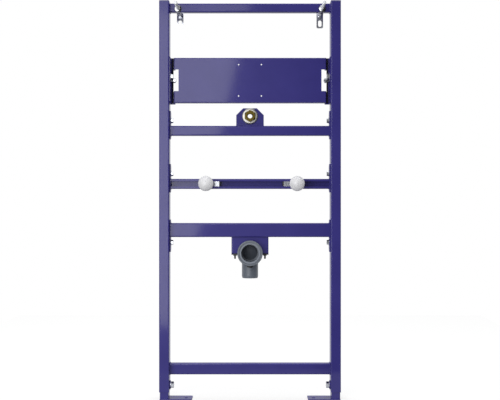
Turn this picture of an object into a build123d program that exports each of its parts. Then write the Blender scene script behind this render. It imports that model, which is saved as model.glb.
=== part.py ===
"""Urinal installation frame: two telescopic posts, crossbars, control panel, fixing rail and drain elbow.

The origin lies under the left foot plate, below the left post's axis. +X runs to the right post,
+Y runs back to the wall and +Z runs up. All sizes are in millimetres.
"""
import os
from math import acos, asin, degrees, sqrt

from build123d import *

# Posts and their end caps
post_spacing = 516.0
post_width = 30.0
post_depth = 50.0
post_wall = 1.5
post_corner = 3.0
post_bottom = 22.5
post_top = 1196.0
cap_lid = 4.0
cap_plug = 18.0
cap_clearance = 0.3

# Telescopic legs and foot plates
leg_clearance = 0.5
leg_wall = 2.0
leg_corner = 2.5
leg_top = 322.0
foot_thick = 3.0
foot_reach = 84.0
foot_overhang = 4.0
foot_corner = 6.0
floor_hole = 11.0
floor_hole_inset = 18.0
floor_hole_ahead = 10.0
clamp_height = 41.0
clamp_boss = 26.0
clamp_boss_thick = 3.0
clamp_screw_hole = 8.4

# Crossbars, flush with the back of the posts
bar_depth = 24.0
bar_wall = 1.5
bar_corner = 4.0
top_bar_height = 26.5
bottom_bar_bottom = 71.0
bottom_bar_height = 33.5
inlet_bar_bottom = 795.0
inlet_bar_height = 30.0
drain_bar_bottom = 487.5
drain_bar_height = 42.5

# Bolted end flanges of the crossbars
flange_thick = 2.5
flange_short = 10.5
flange_long = 45.0
flange_chamfer = 9.0
flange_bolt_offset = 16.5
bolt_hole = 8.4

# Control panel and its end brackets
panel_bottom = 894.5
panel_height = 136.5
panel_gap = 12.2
panel_sheet = 2.0
panel_bend = 3.0
panel_window_width = 14.2
panel_window_height = 65.5
panel_hole = 4.2
panel_hole_pitch_x = 69.0
panel_hole_pitch_z = 95.0
bracket_flange_depth = 44.0
bracket_overlap = 3.0
bracket_chamfer = 6.0
bracket_bolt_rise = 11.0

# Water inlet
inlet_plate_width = 84.0
inlet_plate_rise = 55.0
inlet_plate_thick = 3.0
inlet_plate_chamfer = 21.0
inlet_plate_edge = 1.5
inlet_rise = 30.5
inlet_bore = 14.3
inlet_thread = 20.9
inlet_hole_clearance = 0.3
inlet_hex = 32.0
inlet_hex_thick = 9.0
inlet_back_hex = 27.0
inlet_back_thick = 7.0
inlet_collar_radius = 24.4
inlet_collar_thick = 5.0
inlet_collar_edge = 2.5

# Fixing rail with its sliding studs
rail_bottom = 633.6
rail_height = 30.5
rail_wall = 2.0
rail_corner = 2.6
rail_slot = 15.4
slide_clearance = 0.5
slide_base_thick = 5.0
slide_outer = 20.0
slide_inner = 38.0
slide_slot_length = 10.0
slide_slot_width = 5.0
slide_slot_reach = 28.0
slide_slot_depth = 1.5
stud_radius = 5.0
stud_reach = 66.0
left_stud_offset = 131.6
right_stud_offset = 140.2
cap_radius = 22.5
cap_dome = 15.0
cap_rim = 3.0
cap_wall = 2.0
cap_sleeve_radius = 9.0
cap_sleeve_length = 24.0
cap_bore_clearance = 0.3

# Waste elbow, its bracket and clamp
drain_drop = 47.5
mouth_ahead = 5.0
socket_inset = 3.0
socket_bore = 51.0
socket_wall = 3.0
mouth_radius = 38.2
mouth_length = 14.0
mouth_edge = 2.0
seal_radius = 33.0
seal_lip_radius = 31.0
seal_lip_length = 3.0
seal_depth = 9.0
seal_recess = 1.0
seal_lip_clearance = 1.3
seal_clearance = 0.2
elbow_bend = 30.0
pipe_diameter = 50.0
pipe_wall = 2.0
pipe_length = 50.0
pipe_bevel = 1.2
pipe_bevel_length = 7.0
drain_plate_half_width = 56.3
drain_plate_drop = 3.5
drain_plate_thick = 3.0
drain_plate_bend = 4.0
drain_plate_setback = 8.0
clamp_clearance = 0.4
clamp_thick = 3.0
clamp_length = 14.0
clamp_stud_offset = 45.6
clamp_stud_hole = 6.6

# Wall anchors
anchor_inset = 24.6
anchor_drop = 3.75
anchor_radius = 5.0
anchor_clearance = 0.5
rod_front_length = 90.0
rod_back_length = 12.0
nut_flats = 18.0
nut_thick = 8.0
nut_clearance = 0.2
strap_behind = 66.0
strap_width = 20.3
strap_thick = 3.0
strap_corner = 4.0
strap_rise = 12.0
strap_drop = 41.5
strap_slot_width = 11.0
strap_slot_length = 20.0
strap_slot_inset = 4.5

# Places worked out from the sizes
middle_x = post_spacing / 2
inner_face = post_width / 2
clear_span = post_spacing - post_width
post_front = -post_depth / 2
bar_back = post_depth / 2
bar_front = bar_back - bar_depth
bar_y = (bar_front + bar_back) / 2
leg_width = post_width - 2 * post_wall - 2 * leg_clearance
leg_depth = post_depth - 2 * post_wall - 2 * leg_clearance
inlet_bar_top = inlet_bar_bottom + inlet_bar_height
inlet_height = inlet_bar_top + inlet_rise
rail_height_mid = rail_bottom + rail_height / 2
panel_mid = panel_bottom + panel_height / 2
panel_depth = bar_depth - flange_thick
drain_height = drain_bar_bottom - drain_drop
mouth_y = post_front - mouth_ahead
bend_y = bar_back - socket_inset
socket_length = bend_y - mouth_y
pipe_y = bend_y + elbow_bend
socket_radius = socket_bore / 2 + socket_wall
drain_plate_bottom = drain_height - drain_plate_drop
anchor_x = inner_face + anchor_inset
anchor_height = post_top - top_bar_height / 2 - anchor_drop
centre_plane = Plane.YZ.offset(middle_x)

os.makedirs("parts", exist_ok=True)


def save(piece, node):
    """Label a finished piece and write it as one node."""
    piece.part.label = node
    export_step(piece.part, f"parts/{node}.step")


def save_pair(left, name):
    """Write a left-hand piece and its mirror image on the right."""
    save(left, f"left_{name}")
    with BuildPart() as right:
        mirror(left.part, about=centre_plane)
    save(right, f"right_{name}")


def tube_profile(width, height, wall, corner):
    """Draw a rounded rectangular tube section in the sketch that is open."""
    RectangleRounded(width, height, corner)
    inside_corner = max(corner - wall, wall / 4)
    RectangleRounded(width - 2 * wall, height - 2 * wall, inside_corner, mode=Mode.SUBTRACT)


def crossbar(bottom, height, end_gap):
    """Make a tube between the posts that leaves end_gap free at each end."""
    with BuildPart() as bar:
        with BuildSketch(Plane.YZ.offset(inner_face + end_gap)):
            with Locations((bar_y, bottom + height / 2)):
                tube_profile(bar_depth, height, bar_wall, bar_corner)
        extrude(amount=clear_span - 2 * end_gap)
    return bar


def end_flanges(bottom, height, bolts_above):
    """Make the two plates that bolt a crossbar to the posts, long on the side of the bolt."""
    top = bottom + height
    low = bottom - (flange_short if bolts_above else flange_long)
    high = top + (flange_long if bolts_above else flange_short)
    bolt = top + flange_bolt_offset if bolts_above else bottom - flange_bolt_offset
    with BuildPart() as plates:
        with BuildSketch(Plane.YZ.offset(inner_face)) as outline:
            with Locations((bar_y, (low + high) / 2)):
                Rectangle(bar_depth, high - low)
            chamfer(outline.vertices().group_by(Axis.X)[-1], length=flange_chamfer)
            with Locations((bar_y, bolt)):
                Circle(bolt_hole / 2, mode=Mode.SUBTRACT)
        extrude(amount=flange_thick)
        mirror(about=centre_plane)
    return plates


# Posts: closed tubes, open below for the legs
with BuildPart() as post:
    with BuildSketch(Plane.XY.offset(post_bottom)):
        tube_profile(post_width, post_depth, post_wall, post_corner)
    extrude(amount=post_top - post_bottom)
save_pair(post, "post")

# Moulded end caps: a lid on the tube and a plug inside it
with BuildPart() as post_cap:
    with BuildSketch(Plane.XY.offset(post_top)):
        RectangleRounded(post_width, post_depth, post_corner)
    extrude(amount=cap_lid)
    fillet(post_cap.faces().sort_by(Axis.Z)[-1].edges(), radius=cap_lid / 4)
    with BuildSketch(Plane.XY.offset(post_top)):
        plug_inset = 2 * (post_wall + cap_clearance)
        RectangleRounded(post_width - plug_inset, post_depth - plug_inset, post_wall)
    extrude(amount=-cap_plug)
save_pair(post_cap, "post_cap")

# Legs: tubes that slide in the posts
with BuildPart() as leg:
    with BuildSketch(Plane.XY.offset(foot_thick)):
        tube_profile(leg_width, leg_depth, leg_wall, leg_corner)
    extrude(amount=leg_top - foot_thick)
save_pair(leg, "leg")

# Foot plates: from the leg's outer side inwards, with a floor hole ahead of the crossbars
with BuildPart() as foot:
    foot_front = post_front - foot_overhang
    foot_back = leg_depth / 2
    with BuildSketch(Plane.XY) as outline:
        with Locations(((foot_reach - leg_width / 2) / 2, (foot_front + foot_back) / 2)):
            Rectangle(foot_reach + leg_width / 2, foot_back - foot_front)
        fillet(outline.vertices().group_by(Axis.X)[-1], radius=foot_corner)
        with Locations((foot_reach - floor_hole_inset, bar_front - floor_hole_ahead)):
            Circle(floor_hole / 2, mode=Mode.SUBTRACT)
    extrude(amount=foot_thick)
save_pair(foot, "foot_plate")

# Leg clamp bosses: threaded discs welded to the posts' inner faces
with BuildPart() as bosses:
    with BuildSketch(Plane.YZ.offset(inner_face)):
        with Locations((0, clamp_height)):
            Circle(clamp_boss / 2)
            Circle(clamp_screw_hole / 2, mode=Mode.SUBTRACT)
    extrude(amount=clamp_boss_thick)
    mirror(about=centre_plane)
save(bosses, "leg_clamp_bosses")

# Top crossbar, welded between the posts and drilled for the wall anchors
with BuildPart() as top_bar:
    with BuildSketch(Plane.YZ.offset(inner_face)):
        with Locations((bar_y, post_top - top_bar_height / 2)):
            tube_profile(bar_depth, top_bar_height, bar_wall, bar_corner)
    extrude(amount=clear_span)
    with BuildSketch(Plane.XZ.offset(-bar_front)):
        with Locations((anchor_x, anchor_height), (post_spacing - anchor_x, anchor_height)):
            Circle(anchor_radius + anchor_clearance)
    extrude(amount=-bar_depth, mode=Mode.SUBTRACT)
save(top_bar, "top_crossbar")

# Plain crossbars: the bottom one is welded on, the others stand between bolted flanges
save(crossbar(bottom_bar_bottom, bottom_bar_height, 0), "bottom_crossbar")
save(crossbar(inlet_bar_bottom, inlet_bar_height, flange_thick), "inlet_crossbar")
save(crossbar(drain_bar_bottom, drain_bar_height, flange_thick), "drain_crossbar")
save(end_flanges(inlet_bar_bottom, inlet_bar_height, True), "inlet_flanges")
save(end_flanges(rail_bottom, rail_height, True), "rail_flanges")
save(end_flanges(drain_bar_bottom, drain_bar_height, False), "drain_flanges")

# Control panel: a folded tray, open at the back, with end windows and four fixing holes
panel_width = clear_span - 2 * panel_gap
with BuildPart() as panel:
    with BuildSketch(Plane.XZ.offset(-bar_front)):
        with Locations((middle_x, panel_mid)):
            Rectangle(panel_width, panel_height)
    extrude(amount=-panel_depth)
    fillet(panel.faces().sort_by(Axis.Y)[0].edges(), radius=panel_bend)
    offset(amount=-panel_sheet, openings=panel.faces().sort_by(Axis.Y)[-1])
    with BuildSketch(Plane.XZ.offset(-bar_front)):
        with GridLocations(panel_width, 0, 2, 1):
            with Locations((middle_x, panel_mid)):
                Rectangle(2 * panel_window_width, panel_window_height)
        with Locations((middle_x, panel_mid)):
            with GridLocations(panel_hole_pitch_x, panel_hole_pitch_z, 2, 2):
                Circle(panel_hole / 2)
    extrude(amount=-panel_depth, mode=Mode.SUBTRACT)
save(panel, "control_panel")

# Panel brackets: a flange on the post and a web behind the panel's end, notched at the window
with BuildPart() as bracket:
    web_front = bar_front + panel_depth
    web_end = inner_face + panel_gap + bracket_overlap
    bracket_low = panel_bottom - bracket_overlap
    bracket_high = panel_bottom + panel_height + bracket_overlap / 2
    flange_front = bar_back - bracket_flange_depth
    with BuildSketch(Plane.YZ.offset(inner_face)) as outline:
        with Locations(((flange_front + bar_back) / 2, (bracket_low + bracket_high) / 2)):
            Rectangle(bracket_flange_depth, bracket_high - bracket_low)
        chamfer(outline.vertices().group_by(Axis.X)[0], length=bracket_chamfer)
        with Locations(((flange_front + web_front) / 2, panel_mid + bracket_bolt_rise)):
            Circle(bolt_hole / 2, mode=Mode.SUBTRACT)
    extrude(amount=flange_thick)
    with BuildSketch(Plane.XZ.offset(-web_front)):
        with Locations(((inner_face + web_end) / 2, (bracket_low + bracket_high) / 2)):
            Rectangle(web_end - inner_face, bracket_high - bracket_low)
        with Locations((web_end, panel_mid)):
            Rectangle(4 * bracket_overlap, panel_window_height, mode=Mode.SUBTRACT)
    extrude(amount=-(bar_back - web_front))
save_pair(bracket, "panel_bracket")

# Inlet bracket: a foot on the crossbar and an upright plate with cut corners at its back
with BuildPart() as inlet_bracket:
    with BuildSketch(Plane.XZ.offset(-bar_back)) as outline:
        with Locations((middle_x, inlet_bar_top + inlet_plate_rise / 2)):
            Rectangle(inlet_plate_width, inlet_plate_rise)
        chamfer(outline.vertices().group_by(Axis.Y)[-1], length=inlet_plate_chamfer)
        with Locations((middle_x, inlet_height)):
            Circle(inlet_thread / 2 + inlet_hole_clearance, mode=Mode.SUBTRACT)
    extrude(amount=inlet_plate_thick)
    with BuildSketch(Plane.XY.offset(inlet_bar_top)):
        with Locations((middle_x, bar_y)):
            Rectangle(inlet_plate_width, bar_depth)
    extrude(amount=inlet_plate_thick)
    foot_edge = inlet_bracket.edges().filter_by(Axis.X).group_by(Axis.Y)[0].sort_by(Axis.Z)[-1]
    fillet(foot_edge, radius=inlet_plate_edge)
save(inlet_bracket, "inlet_bracket")

# Inlet collar: a round plated disc on the upright plate
inlet_plate_front = bar_back - inlet_plate_thick
with BuildPart() as collar:
    with BuildSketch(Plane.XZ.offset(-inlet_plate_front)):
        with Locations((middle_x, inlet_height)):
            Circle(inlet_collar_radius)
            Circle(inlet_thread / 2 + inlet_hole_clearance, mode=Mode.SUBTRACT)
    extrude(amount=inlet_collar_thick)
    fillet(collar.faces().sort_by(Axis.Y)[0].outer_wire().edges(), radius=inlet_collar_edge)
save(collar, "inlet_collar")

# Inlet fitting: a brass hexagon on the collar, a threaded barrel through the plate and a nut behind
with BuildPart() as fitting:
    hex_back = inlet_plate_front - inlet_collar_thick
    with BuildSketch(Plane.XZ.offset(-hex_back)):
        with Locations((middle_x, inlet_height)):
            RegularPolygon(inlet_hex / 2, 6, major_radius=False, rotation=30)
    extrude(amount=inlet_hex_thick)
    with BuildSketch(Plane.XZ.offset(-hex_back)):
        with Locations((middle_x, inlet_height)):
            Circle(inlet_thread / 2)
    extrude(amount=-(bar_back + inlet_back_thick - hex_back))
    with BuildSketch(Plane.XZ.offset(-bar_back)):
        with Locations((middle_x, inlet_height)):
            RegularPolygon(inlet_back_hex / 2, 6, major_radius=False, rotation=30)
    extrude(amount=-inlet_back_thick)
    with BuildSketch(Plane.XZ.offset(inlet_hex_thick - hex_back)):
        with Locations((middle_x, inlet_height)):
            Circle(inlet_bore / 2)
    extrude(amount=-(inlet_hex_thick + bar_back + inlet_back_thick - hex_back), mode=Mode.SUBTRACT)
save(fitting, "inlet_fitting")

# Fixing rail: a C-section with its slot to the front
with BuildPart() as rail:
    with BuildSketch(Plane.YZ.offset(inner_face + flange_thick)):
        with Locations((bar_y, rail_height_mid)):
            tube_profile(bar_depth, rail_height, rail_wall, rail_corner)
        with Locations((bar_front, rail_height_mid)):
            Rectangle(2 * rail_wall, rail_slot, mode=Mode.SUBTRACT)
    extrude(amount=clear_span - 2 * flange_thick)
save(rail, "fixing_rail")

# Fixing studs: a T-shaped slide held by the rail's lips, a stud on it and a domed guard on the stud
slide_base_front = bar_front + rail_wall + slide_clearance
stud_tip = bar_front - stud_reach
dome_radius = (cap_radius**2 + cap_dome**2) / (2 * cap_dome)
dome_angle = degrees(acos(1 - cap_dome / dome_radius))
hollow_radius = dome_radius - cap_wall
hollow_angle = degrees(asin((cap_radius - cap_wall) / hollow_radius))
hollow_dip = hollow_radius - sqrt(hollow_radius**2 - stud_radius**2)
cap_tip = stud_tip - hollow_dip - cap_wall - cap_bore_clearance
cap_edge = cap_tip + cap_dome
for side, inward, stud_x in (
    ("left", 1, middle_x - left_stud_offset),
    ("right", -1, middle_x + right_stud_offset),
):
    with BuildPart() as slide:
        with BuildSketch(Plane.YZ.offset(stud_x - inward * slide_outer)):
            with Locations((slide_base_front + slide_base_thick / 2, rail_height_mid)):
                Rectangle(slide_base_thick, rail_height - 2 * rail_wall - 2 * slide_clearance)
            with Locations(((bar_front + slide_base_front) / 2, rail_height_mid)):
                Rectangle(slide_base_front - bar_front, rail_slot - 2 * slide_clearance)
        extrude(amount=inward * (slide_outer + slide_inner))
        with BuildSketch(Plane.XZ.offset(-bar_front)):
            with Locations((stud_x + inward * slide_slot_reach, rail_height_mid)):
                SlotOverall(slide_slot_length, slide_slot_width)
        extrude(amount=-slide_slot_depth, mode=Mode.SUBTRACT)
    save(slide, f"{side}_slide_plate")

    with BuildPart() as stud:
        with BuildSketch(Plane.XZ.offset(-bar_front)):
            with Locations((stud_x, rail_height_mid)):
                Circle(stud_radius)
        extrude(amount=stud_reach)
    save(stud, f"{side}_stud")

    with BuildPart() as guard:
        with BuildSketch(Plane.XY.offset(rail_height_mid)):
            with BuildLine():
                outer = JernArc((stud_x, cap_tip), (1, 0), dome_radius, dome_angle)
                hollow = JernArc((stud_x, cap_tip + cap_wall), (1, 0), hollow_radius, hollow_angle)
                Polyline(
                    outer @ 1,
                    (stud_x + cap_radius, cap_edge + cap_rim),
                    (stud_x + cap_radius - cap_wall, cap_edge + cap_rim),
                    hollow @ 1,
                )
                Line(outer @ 0, hollow @ 0)
            make_face()
            bore_radius = stud_radius + cap_bore_clearance
            with Locations((stud_x + (bore_radius + cap_sleeve_radius) / 2, cap_tip + cap_wall / 2)):
                Rectangle(
                    cap_sleeve_radius - bore_radius,
                    cap_sleeve_length,
                    align=(Align.CENTER, Align.MIN),
                )
        revolve(axis=Axis((stud_x, 0, rail_height_mid), (0, 1, 0)))
    save(guard, f"{side}_stud_cap")

# Drain bracket: a folded tray under the crossbar, set back from its front and cut half round for the socket
drain_plate_front = bar_front + drain_plate_setback
drain_plate_depth = bar_back - drain_plate_front
drain_plate_y = (drain_plate_front + bar_back) / 2
with BuildPart() as drain_bracket:
    with BuildSketch(Plane.XZ.offset(-drain_plate_front)):
        with Locations((middle_x, (drain_plate_bottom + drain_bar_bottom) / 2)):
            Rectangle(2 * drain_plate_half_width, drain_bar_bottom - drain_plate_bottom)
    extrude(amount=-drain_plate_depth)
    bends = drain_bracket.faces().sort_by(Axis.Y)[0].edges().sort_by(Axis.Z)[:-1]
    fillet(bends, radius=drain_plate_bend)
    open_sides = [drain_bracket.faces().sort_by(Axis.Y)[-1], drain_bracket.faces().sort_by(Axis.Z)[-1]]
    offset(amount=-drain_plate_thick, openings=open_sides)
    with BuildSketch(Plane.XZ.offset(-drain_plate_front)):
        with Locations((middle_x, drain_height)):
            Circle(socket_radius + clamp_clearance)
    extrude(amount=-drain_plate_depth, mode=Mode.SUBTRACT)
    with BuildSketch(Plane.XY.offset(drain_plate_bottom)):
        with Locations((middle_x, drain_plate_y)):
            with GridLocations(2 * clamp_stud_offset, 0, 2, 1):
                Circle(clamp_stud_hole / 2)
    extrude(amount=drain_plate_thick, mode=Mode.SUBTRACT)
save(drain_bracket, "drain_bracket")

# Pipe clamp: a saddle under the socket with an ear on each side, bolted up to the bracket
with BuildPart() as clamp:
    with BuildSketch(Plane.XZ.offset(-(drain_plate_y - clamp_length / 2))):
        with Locations((middle_x, drain_height)):
            Circle(socket_radius + clamp_clearance + clamp_thick)
        with Locations((middle_x, drain_plate_bottom)):
            Rectangle(
                4 * mouth_radius,
                4 * mouth_radius,
                align=(Align.CENTER, Align.MIN),
                mode=Mode.SUBTRACT,
            )
        with Locations((middle_x, drain_plate_bottom)):
            Rectangle(2 * drain_plate_half_width, clamp_thick, align=(Align.CENTER, Align.MAX))
        with Locations((middle_x, drain_height)):
            Circle(socket_radius + clamp_clearance, mode=Mode.SUBTRACT)
    extrude(amount=-clamp_length)
    with BuildSketch(Plane.XY.offset(drain_plate_bottom - clamp_thick)):
        with Locations((middle_x, drain_plate_y)):
            with GridLocations(2 * clamp_stud_offset, 0, 2, 1):
                Circle(clamp_stud_hole / 2)
    extrude(amount=clamp_thick, mode=Mode.SUBTRACT)
save(clamp, "pipe_clamp")

# Drain elbow: a socket with a wide mouth, a quarter bend and a plain spigot below
socket_axis = Axis((middle_x, 0, drain_height), (0, 1, 0))
pipe_radius = pipe_diameter / 2
with BuildPart() as elbow:
    with BuildSketch(Plane.XY.offset(drain_height)) as section:
        with BuildLine():
            Polyline(
                (middle_x, mouth_y),
                (middle_x + mouth_radius, mouth_y),
                (middle_x + mouth_radius, mouth_y + mouth_length),
                (middle_x + socket_radius, mouth_y + mouth_length),
                (middle_x + socket_radius, bend_y),
                (middle_x, bend_y),
                close=True,
            )
        make_face()
        fillet(section.vertices().group_by(Axis.X)[-1], radius=mouth_edge)
    revolve(axis=socket_axis)
    with BuildSketch(Plane.XZ.offset(-bend_y)):
        with Locations((middle_x, drain_height)):
            Circle(pipe_radius)
    revolve(axis=Axis((middle_x, bend_y, drain_height - elbow_bend), (-1, 0, 0)), revolution_arc=90)
    with BuildSketch(Plane.XY.offset(drain_height - elbow_bend)):
        with Locations((middle_x, pipe_y)):
            Circle(pipe_radius)
    extrude(amount=-pipe_length)
    spigot_end = elbow.faces().sort_by(Axis.Z)[0]
    chamfer(spigot_end.edges(), length=pipe_bevel, length2=pipe_bevel_length, reference=spigot_end)
    with BuildSketch(Plane.XZ.offset(-mouth_y)):
        with Locations((middle_x, drain_height)):
            Circle(seal_radius + seal_clearance)
    extrude(amount=-(seal_recess + seal_depth), mode=Mode.SUBTRACT)
    with BuildSketch(Plane.XZ.offset(-mouth_y)):
        with Locations((middle_x, drain_height)):
            Circle(socket_bore / 2)
    extrude(amount=-socket_length + socket_wall, mode=Mode.SUBTRACT)
    with BuildSketch(Plane.XZ.offset(-mouth_y)):
        with Locations((middle_x, drain_height)):
            Circle(pipe_radius - pipe_wall)
    extrude(amount=-socket_length, mode=Mode.SUBTRACT)
    with BuildSketch(Plane.XZ.offset(-bend_y)):
        with Locations((middle_x, drain_height)):
            Circle(pipe_radius - pipe_wall)
    revolve(
        axis=Axis((middle_x, bend_y, drain_height - elbow_bend), (-1, 0, 0)),
        revolution_arc=90,
        mode=Mode.SUBTRACT,
    )
    with BuildSketch(Plane.XY.offset(drain_height - elbow_bend)):
        with Locations((middle_x, pipe_y)):
            Circle(pipe_radius - pipe_wall)
    extrude(amount=-pipe_length, mode=Mode.SUBTRACT)
save(elbow, "drain_elbow")

# Drain seal: a rubber ring seated in the mouth
with BuildPart() as seal:
    with BuildSketch(Plane.XZ.offset(-(mouth_y + seal_recess))):
        with Locations((middle_x, drain_height)):
            Circle(seal_radius)
            Circle(socket_bore / 2 + seal_lip_clearance, mode=Mode.SUBTRACT)
    extrude(amount=-seal_depth)
    with BuildSketch(Plane.XZ.offset(-(mouth_y + seal_recess))):
        with Locations((middle_x, drain_height)):
            Circle(seal_radius)
            Circle(seal_lip_radius, mode=Mode.SUBTRACT)
    extrude(amount=-seal_lip_length, mode=Mode.SUBTRACT)
save(seal, "drain_seal")

# Wall anchors: a threaded rod through the top crossbar and a slotted strap on its back end
strap_front = bar_back + strap_behind
with BuildPart() as rod:
    with BuildSketch(Plane.XZ.offset(rod_front_length - bar_front)):
        with Locations((anchor_x, anchor_height)):
            Circle(anchor_radius)
    extrude(amount=-(rod_front_length + strap_front + strap_thick + rod_back_length - bar_front))
save_pair(rod, "wall_rod")

strap_top = anchor_height + strap_rise
strap_bottom = anchor_height - strap_drop
strap_slot_mid = strap_bottom + strap_slot_inset + strap_slot_length / 2
with BuildPart() as strap:
    with BuildSketch(Plane.XZ.offset(-strap_front)):
        with Locations((anchor_x, (strap_bottom + strap_top) / 2)):
            RectangleRounded(strap_width, strap_top - strap_bottom, strap_corner)
        with Locations((anchor_x, anchor_height)):
            Circle(anchor_radius + anchor_clearance, mode=Mode.SUBTRACT)
        with Locations((anchor_x, strap_slot_mid)):
            SlotOverall(strap_slot_length, strap_slot_width, rotation=90, mode=Mode.SUBTRACT)
    extrude(amount=-strap_thick)
save_pair(strap, "wall_strap")

# Anchor nuts: one on each side of the crossbar and of the strap, on both rods
with BuildPart() as nuts:
    for back_face in (bar_front, bar_back + nut_thick, strap_front, strap_front + strap_thick + nut_thick):
        with BuildSketch(Plane.XZ.offset(-back_face)):
            with Locations((anchor_x, anchor_height)):
                RegularPolygon(nut_flats / 2, 6, major_radius=False)
                Circle(anchor_radius + nut_clearance, mode=Mode.SUBTRACT)
        extrude(amount=nut_thick)
    mirror(about=centre_plane)
save(nuts, "anchor_nuts")
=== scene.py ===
import math

import bmesh
import bpy
from mathutils import Matrix, Vector


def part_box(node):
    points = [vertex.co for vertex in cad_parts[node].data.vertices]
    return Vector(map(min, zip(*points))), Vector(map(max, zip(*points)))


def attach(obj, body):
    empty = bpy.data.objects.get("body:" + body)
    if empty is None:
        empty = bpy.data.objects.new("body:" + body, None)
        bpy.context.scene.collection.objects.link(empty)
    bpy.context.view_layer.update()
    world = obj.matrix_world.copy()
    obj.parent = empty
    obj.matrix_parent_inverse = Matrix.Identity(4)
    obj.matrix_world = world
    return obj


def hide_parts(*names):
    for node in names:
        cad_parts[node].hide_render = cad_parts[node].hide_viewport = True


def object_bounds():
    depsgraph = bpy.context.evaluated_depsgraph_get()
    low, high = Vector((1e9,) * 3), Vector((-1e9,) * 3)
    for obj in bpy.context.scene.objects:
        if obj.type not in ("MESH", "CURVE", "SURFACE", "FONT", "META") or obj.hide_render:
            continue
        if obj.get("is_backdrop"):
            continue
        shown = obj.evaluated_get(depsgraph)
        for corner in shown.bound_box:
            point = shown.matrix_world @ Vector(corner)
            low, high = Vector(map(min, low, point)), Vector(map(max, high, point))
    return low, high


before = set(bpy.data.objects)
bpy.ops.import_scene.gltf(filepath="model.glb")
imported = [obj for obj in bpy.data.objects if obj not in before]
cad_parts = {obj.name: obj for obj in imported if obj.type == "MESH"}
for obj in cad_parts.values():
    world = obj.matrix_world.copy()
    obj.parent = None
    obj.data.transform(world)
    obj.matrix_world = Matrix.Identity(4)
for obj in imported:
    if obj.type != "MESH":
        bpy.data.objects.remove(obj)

cad_low, cad_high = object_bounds()

# Painted frame: rectangular steel tubes, pressed flanges and folded sheet, welded or bolted together.
# All of it is powder coated in one blue-violet, sprayed as dry powder and baked to a glossy skin.
mm = 0.001
PAINTED_NODES = [
    "left_post", "right_post", "left_leg", "right_leg", "left_foot_plate", "right_foot_plate",
    "leg_clamp_bosses", "top_crossbar", "bottom_crossbar", "inlet_crossbar", "drain_crossbar",
    "inlet_flanges", "rail_flanges", "drain_flanges", "control_panel", "left_panel_bracket",
    "right_panel_bracket", "inlet_bracket", "fixing_rail", "drain_bracket",
]


def linear(code):
    """Turn an sRGB hex colour into the linear RGBA that a shader socket takes."""
    channels = [int(code[place : place + 2], 16) / 255 for place in (1, 3, 5)]
    return [c / 12.92 if c <= 0.04045 else ((c + 0.055) / 1.055) ** 2.4 for c in channels] + [1.0]


def add_node(tree, kind, inputs, stops=(), **settings):
    """Add one node with its settings, its stops of (position, tone), its socket values and its links."""
    node = tree.nodes.new(kind)
    for name, value in settings.items():
        setattr(node, name, value)
    for place, (position, tone) in enumerate(stops):
        node.color_ramp.elements[place].position = position
        node.color_ramp.elements[place].color = linear(tone)
    for socket, value in inputs.items():
        if isinstance(value, bpy.types.NodeSocket):
            tree.links.new(value, node.inputs[socket])
        else:
            node.inputs[socket].default_value = value
    return node


def start_material(name):
    """Make an empty material and give its tree and the object coordinates."""
    material = bpy.data.materials.new(name)
    material.use_nodes = True
    material.node_tree.nodes.clear()
    place = add_node(material.node_tree, "ShaderNodeTexCoord", {}).outputs["Object"]
    return material, material.node_tree, place


# Baked polyester powder flows out glossy, but keeps a faint orange peel and slow changes of thickness.
# The pigment below is dull, so a thin clear skin on top gives all of the gloss.
POWDER_DRIFT = 90 * mm
ORANGE_PEEL = 2.2 * mm
PEEL_DEPTH = 0.05 * mm
powder_coat, tree, place = start_material("glossy_powder_coat")
drift = add_node(tree, "ShaderNodeTexNoise", {"Vector": place, "Scale": 1 / POWDER_DRIFT, "Detail": 3.0})
peel = add_node(tree, "ShaderNodeTexNoise", {"Vector": place, "Scale": 1 / ORANGE_PEEL, "Detail": 1.0})
gloss = add_node(
    tree, "ShaderNodeMapRange",
    {"Value": drift.outputs["Fac"], "From Min": 0.3, "From Max": 0.7, "To Min": 0.07, "To Max": 0.095},
)
skin = add_node(
    tree, "ShaderNodeBump", {"Height": peel.outputs["Fac"], "Strength": 0.02, "Distance": PEEL_DEPTH},
)
tones = add_node(
    tree, "ShaderNodeValToRGB", {"Fac": drift.outputs["Fac"]}, stops=[(0.3, "#322e70"), (0.7, "#363276")],
)
shader = add_node(tree, "ShaderNodeBsdfPrincipled", {
    "Base Color": tones.outputs["Color"],
    "Roughness": gloss.outputs["Result"],
    "Normal": skin.outputs["Normal"],
    "IOR": 1.5,
    "Specular IOR Level": 0.0,
    "Coat Weight": 0.5,
    "Coat Roughness": 0.08,
    "Coat Normal": skin.outputs["Normal"],
})
add_node(tree, "ShaderNodeOutputMaterial", {"Surface": shader.outputs["BSDF"]})


def dress(material, *nodes):
    """Give CAD nodes a material."""
    for node in nodes:
        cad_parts[node].data.materials.clear()
        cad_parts[node].data.materials.append(material)


dress(powder_coat, *PAINTED_NODES)

# Post caps: moulded lids pressed into the tops of the posts, in a dyed blue plastic.
# The polyethylene is duller and a little greyer than the paint, with a fine spark-eroded grain. The grain
# is drawn coarser than it is, so that a close view shows it.
CAP_GRAIN = 0.9 * mm
GRAIN_DEPTH = 0.05 * mm
cap_plastic, tree, place = start_material("moulded_polyethylene_blue")
grain = add_node(tree, "ShaderNodeTexNoise", {"Vector": place, "Scale": 1 / CAP_GRAIN, "Detail": 2.0})
skin = add_node(
    tree, "ShaderNodeBump", {"Height": grain.outputs["Fac"], "Strength": 0.2, "Distance": GRAIN_DEPTH},
)
tones = add_node(
    tree, "ShaderNodeValToRGB", {"Fac": grain.outputs["Fac"]}, stops=[(0.3, "#383764"), (0.7, "#3d3c6a")],
)
shader = add_node(tree, "ShaderNodeBsdfPrincipled", {
    "Base Color": tones.outputs["Color"],
    "Roughness": 0.5,
    "Normal": skin.outputs["Normal"],
    "IOR": 1.5,
})
add_node(tree, "ShaderNodeOutputMaterial", {"Surface": shader.outputs["BSDF"]})
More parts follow.
